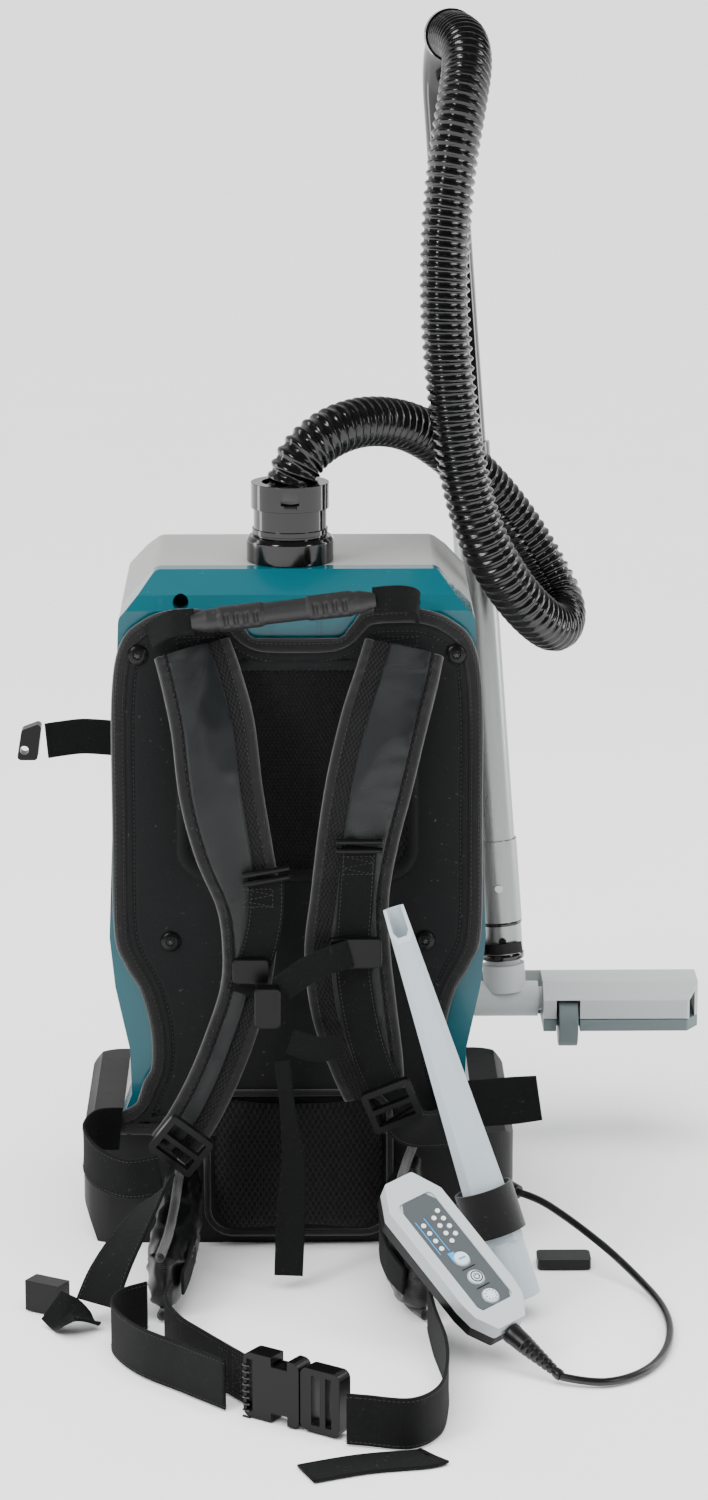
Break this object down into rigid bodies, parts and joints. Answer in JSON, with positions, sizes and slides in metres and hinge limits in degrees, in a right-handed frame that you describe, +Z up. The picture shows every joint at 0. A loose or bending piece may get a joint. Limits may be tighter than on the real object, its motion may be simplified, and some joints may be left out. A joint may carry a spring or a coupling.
{
  "type": "backpack vacuum cleaner",
  "caption": "Cordless backpack vacuum with padded harness, waist belt, ribbed hose, aluminium wand, floor nozzle, crevice tool and wired remote.",
  "frame": {"origin": "centre of the flat underside of the base", "axes": "+Z up, -Y towards the wearer's back and harness, +X to the right of a person who looks at the harness"},
  "size_m": [0.5585, 0.8148, 0.9509],
  "materials": {
    "teal_shell": "glossy moulded shell",
    "grey_shell": "light warm grey moulded shell",
    "black_plastic": "glossy black moulding",
    "base_plastic": "satin black moulding",
    "dark_inner_plastic": "plain inner moulding",
    "hose_rubber": "glossy black ribbed hose",
    "cable_rubber": "smooth black cable sheath",
    "grip_rubber": "soft moulded grip",
    "strap_fabric": "satin woven panel over mesh, bound edges",
    "pad_foam": "foam pad with bound edge",
    "mesh_fabric": "open spacer mesh",
    "webbing": "woven polyester webbing",
    "hip_fabric": "padded woven hip wing",
    "buckle_plastic": "moulded buckle",
    "elastic_band": "knitted elastic",
    "accessory_plastic": "pale blue grey moulding",
    "remote_housing": "light grey satin moulding",
    "button_plastic": "moulded button cap",
    "nozzle_plastic": "off-white moulding",
    "nozzle_base_plastic": "grey green moulding",
    "wheel_plastic": "grey green wheel",
    "tube_aluminium": "satin anodised tube",
    "pipe_plastic": "glossy black pipe",
    "motor_metal": "pressed steel can",
    "bearing_steel": "ground steel",
    "terminal_brass": "plated blades on a carrier",
    "board_green": "printed circuit board",
    "filter_paper": "pleated filter",
    "bag_fleece": "non-woven dust bag",
    "battery_plastic": "black pack housing"
  },
  "bodies": {
    "root": {"base_housing": "base_plastic", "back_shell": "teal_shell", "outer_shell": "grey_shell", "battery_terminals": "terminal_brass", "control_board": "board_green", "motor_can": "motor_metal", "motor_mounts": "grip_rubber", "motor_bearings": "bearing_steel", "motor_deck": "dark_inner_plastic", "filter_cassette": "filter_paper", "dust_bag": "bag_fleece", "bag_plate": "dark_inner_plastic", "inlet_flange": "black_plastic", "hose": "hose_rubber", "handle_pipe": "pipe_plastic", "wand_tube": "tube_aluminium", "wand_sleeve": "tube_aluminium", "wand_holder": "base_plastic", "nozzle_neck": "nozzle_plastic", "back_plate": "base_plastic", "back_pad": "pad_foam", "lumbar_pad": "mesh_fabric", "plate_rivets": "buckle_plastic", "shoulder_strap_left": "strap_fabric", "shoulder_strap_right": "strap_fabric", "strap_webbing": "webbing", "side_straps": "webbing", "sternum_strap": "webbing", "sternum_buckle": "buckle_plastic", "strap_hardware": "buckle_plastic", "hip_pad_left": "hip_fabric", "hip_pad_right": "hip_fabric", "belt_webbing": "webbing", "belt_buckle_socket": "buckle_plastic", "belt_buckle_plug": "buckle_plastic", "crevice_strap": "elastic_band", "remote_front": "remote_housing", "remote_back": "remote_housing", "strain_relief": "cable_rubber", "remote_cable": "cable_rubber", "cable_gland": "cable_rubber"},
    "rotor": {"rotor_shaft": "bearing_steel", "impeller": "dark_inner_plastic"},
    "cover": {"dust_cover": "grey_shell"},
    "latch": {"cover_latch": "black_plastic"},
    "battery_left": {"battery_left": "battery_plastic"},
    "battery_right": {"battery_right": "battery_plastic"},
    "battery_button_left": {"battery_button_left": "base_plastic"},
    "battery_button_right": {"battery_button_right": "base_plastic"},
    "cuff": {"hose_cuff": "black_plastic"},
    "carry_handle": {"carry_handle": "grip_rubber"},
    "crevice_tool": {"crevice_tool": "accessory_plastic"},
    "button_boost": {"remote_button_boost": "button_plastic"},
    "button_power": {"remote_button_power": "button_plastic"},
    "button_mode": {"remote_button_mode": "button_plastic"},
    "snap_button": {"snap_button": "black_plastic"},
    "nozzle_elbow": {"nozzle_elbow": "nozzle_plastic"},
    "nozzle_head": {"nozzle_head_top": "nozzle_plastic", "nozzle_head_base": "nozzle_base_plastic"},
    "nozzle_wheels": {"nozzle_wheels": "wheel_plastic"}
  },
  "joints": [
    {"name": "rotor_spin", "type": "hinge", "parent": "root", "child": "rotor", "pos_m": [0, 0.03, 0.15], "axis": [0, 0, 1], "continuous": true},
    {"name": "cover_hinge", "type": "hinge", "parent": "root", "child": "cover", "pos_m": [0, 0.1165, 0.208], "axis": [-1, 0, 0], "range_deg": [0, 75]},
    {"name": "latch_turn", "type": "hinge", "parent": "cover", "child": "latch", "pos_m": [0, 0.117, 0.488], "axis": [-1, 0, 0], "range_deg": [0, 35], "stiffness_Nm_per_rad": 0.05},
    {"name": "battery_left_slide", "type": "slide", "parent": "root", "child": "battery_left", "axis": [-1, 0, 0], "range_m": [0, 0.118]},
    {"name": "battery_right_slide", "type": "slide", "parent": "root", "child": "battery_right", "axis": [1, 0, 0], "range_m": [0, 0.118]},
    {"name": "battery_button_left_press", "type": "slide", "parent": "battery_left", "child": "battery_button_left", "axis": [1, 0, 0], "range_m": [0, 0.004], "stiffness_N_per_m": 800},
    {"name": "battery_button_right_press", "type": "slide", "parent": "battery_right", "child": "battery_button_right", "axis": [-1, 0, 0], "range_m": [0, 0.004], "stiffness_N_per_m": 800},
    {"name": "cuff_swivel", "type": "hinge", "parent": "root", "child": "cuff", "pos_m": [-0.005, -0.04, 0.56], "axis": [0, 0, 1], "continuous": true},
    {"name": "carry_handle_swing", "type": "hinge", "parent": "root", "child": "carry_handle", "pos_m": [-0.01, -0.119, 0.503], "axis": [0.9927, 0, 0.1205], "range_deg": [-34, 0]},
    {"name": "crevice_tool_slide", "type": "slide", "parent": "root", "child": "crevice_tool", "axis": [-0.3025, 0.177, 0.9366], "range_m": [0, 0.1]},
    {"name": "boost_button_press", "type": "slide", "parent": "root", "child": "button_boost", "axis": [-0.2341, 0.5564, -0.7973], "range_m": [0, 0.0008], "stiffness_N_per_m": 1500},
    {"name": "power_button_press", "type": "slide", "parent": "root", "child": "button_power", "axis": [-0.2341, 0.5564, -0.7973], "range_m": [0, 0.0008], "stiffness_N_per_m": 1500},
    {"name": "mode_button_press", "type": "slide", "parent": "root", "child": "button_mode", "axis": [-0.2341, 0.5564, -0.7973], "range_m": [0, 0.0008], "stiffness_N_per_m": 1500},
    {"name": "snap_button_press", "type": "slide", "parent": "root", "child": "snap_button", "axis": [0.0054, 0.9973, -0.0731], "range_m": [0, 0.003], "stiffness_N_per_m": 900},
    {"name": "nozzle_swivel", "type": "hinge", "parent": "root", "child": "nozzle_elbow", "pos_m": [0.177, 0.157, 0.119], "axis": [-0.0733, 0.0733, 0.9946], "range_deg": [-45, 0]},
    {"name": "nozzle_tilt", "type": "hinge", "parent": "nozzle_elbow", "child": "nozzle_head", "pos_m": [0.177, 0.157, 0.119], "axis": [1, 0, 0], "range_deg": [-60, 0]},
    {"name": "nozzle_wheel_spin", "type": "hinge", "parent": "nozzle_head", "child": "nozzle_wheels", "pos_m": [0.177, 0.143, 0.102], "axis": [1, 0, 0], "continuous": true}
  ]
}
